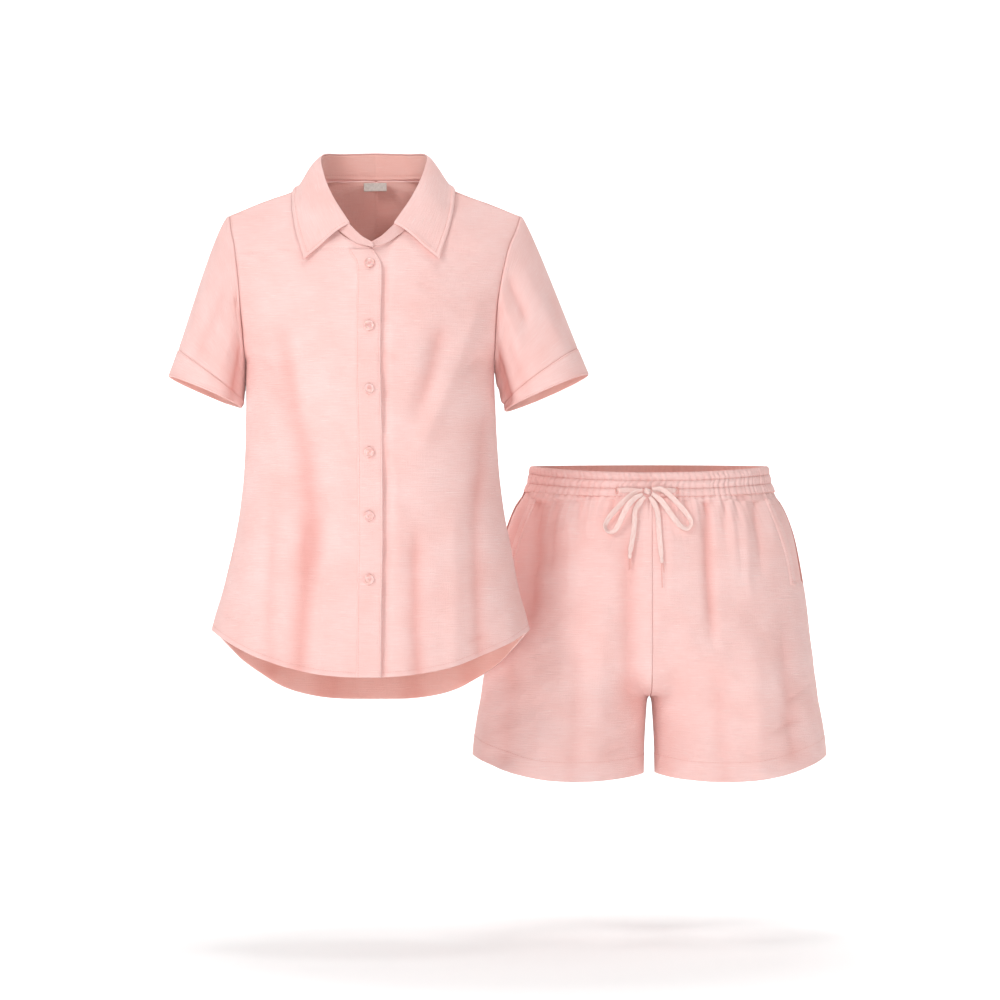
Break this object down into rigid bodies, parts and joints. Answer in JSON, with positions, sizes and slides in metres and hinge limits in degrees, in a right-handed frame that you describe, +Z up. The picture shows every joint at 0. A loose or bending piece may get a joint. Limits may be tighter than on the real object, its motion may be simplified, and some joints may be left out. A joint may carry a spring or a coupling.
{
  "type": "shirt and shorts set",
  "caption": "Short-sleeved button-up shirt with a folded collar and a curved hem, and loose elastic-waist drawstring shorts, both filled out as if worn, in pale pink slub cloth.",
  "frame": {"origin": "on the shirt's mid-line between its shoulder seams, where the wearer's shoulders carry it", "axes": "+Z up, -Y towards the wearer's front, +X towards the wearer's left; the shorts stand behind and at +X of the shirt, as in the picture"},
  "size_m": [0.8686, 0.4071, 0.827],
  "materials": {
    "linen": "pale pink slubbed plain weave of linen blend, washed soft, matt with a faint nap",
    "drawstring": "flat tie of the same pink cloth, folded and stitched",
    "button": "pale pink four-hole shirt button with a raised rim, softly glossy",
    "label_ribbon": "bare grey-white woven ribbon, folded in a loop"
  },
  "bodies": {
    "root": {"shirt_front_right": "linen", "shirt_front_left": "linen", "shirt_back": "linen", "sleeve_right": "linen", "sleeve_left": "linen", "cuff_right": "linen", "cuff_left": "linen", "collar_stand": "linen", "collar_leaf": "linen", "placket": "linen", "neck_label": "label_ribbon", "shorts_front_right": "linen", "shorts_front_left": "linen", "shorts_back_right": "linen", "shorts_back_left": "linen", "waistband": "linen", "pocket_edge_right": "linen", "pocket_edge_left": "linen", "drawstring_lead_right": "drawstring", "drawstring_lead_left": "drawstring", "drawstring_bow_right": "drawstring", "drawstring_bow_left": "drawstring", "drawstring_tail_right": "drawstring", "drawstring_tail_left": "drawstring", "drawstring_knot": "drawstring", "button_1": "button", "button_2": "button", "button_3": "button", "button_4": "button", "button_5": "button", "button_6": "button"}
  },
  "joints": []
}
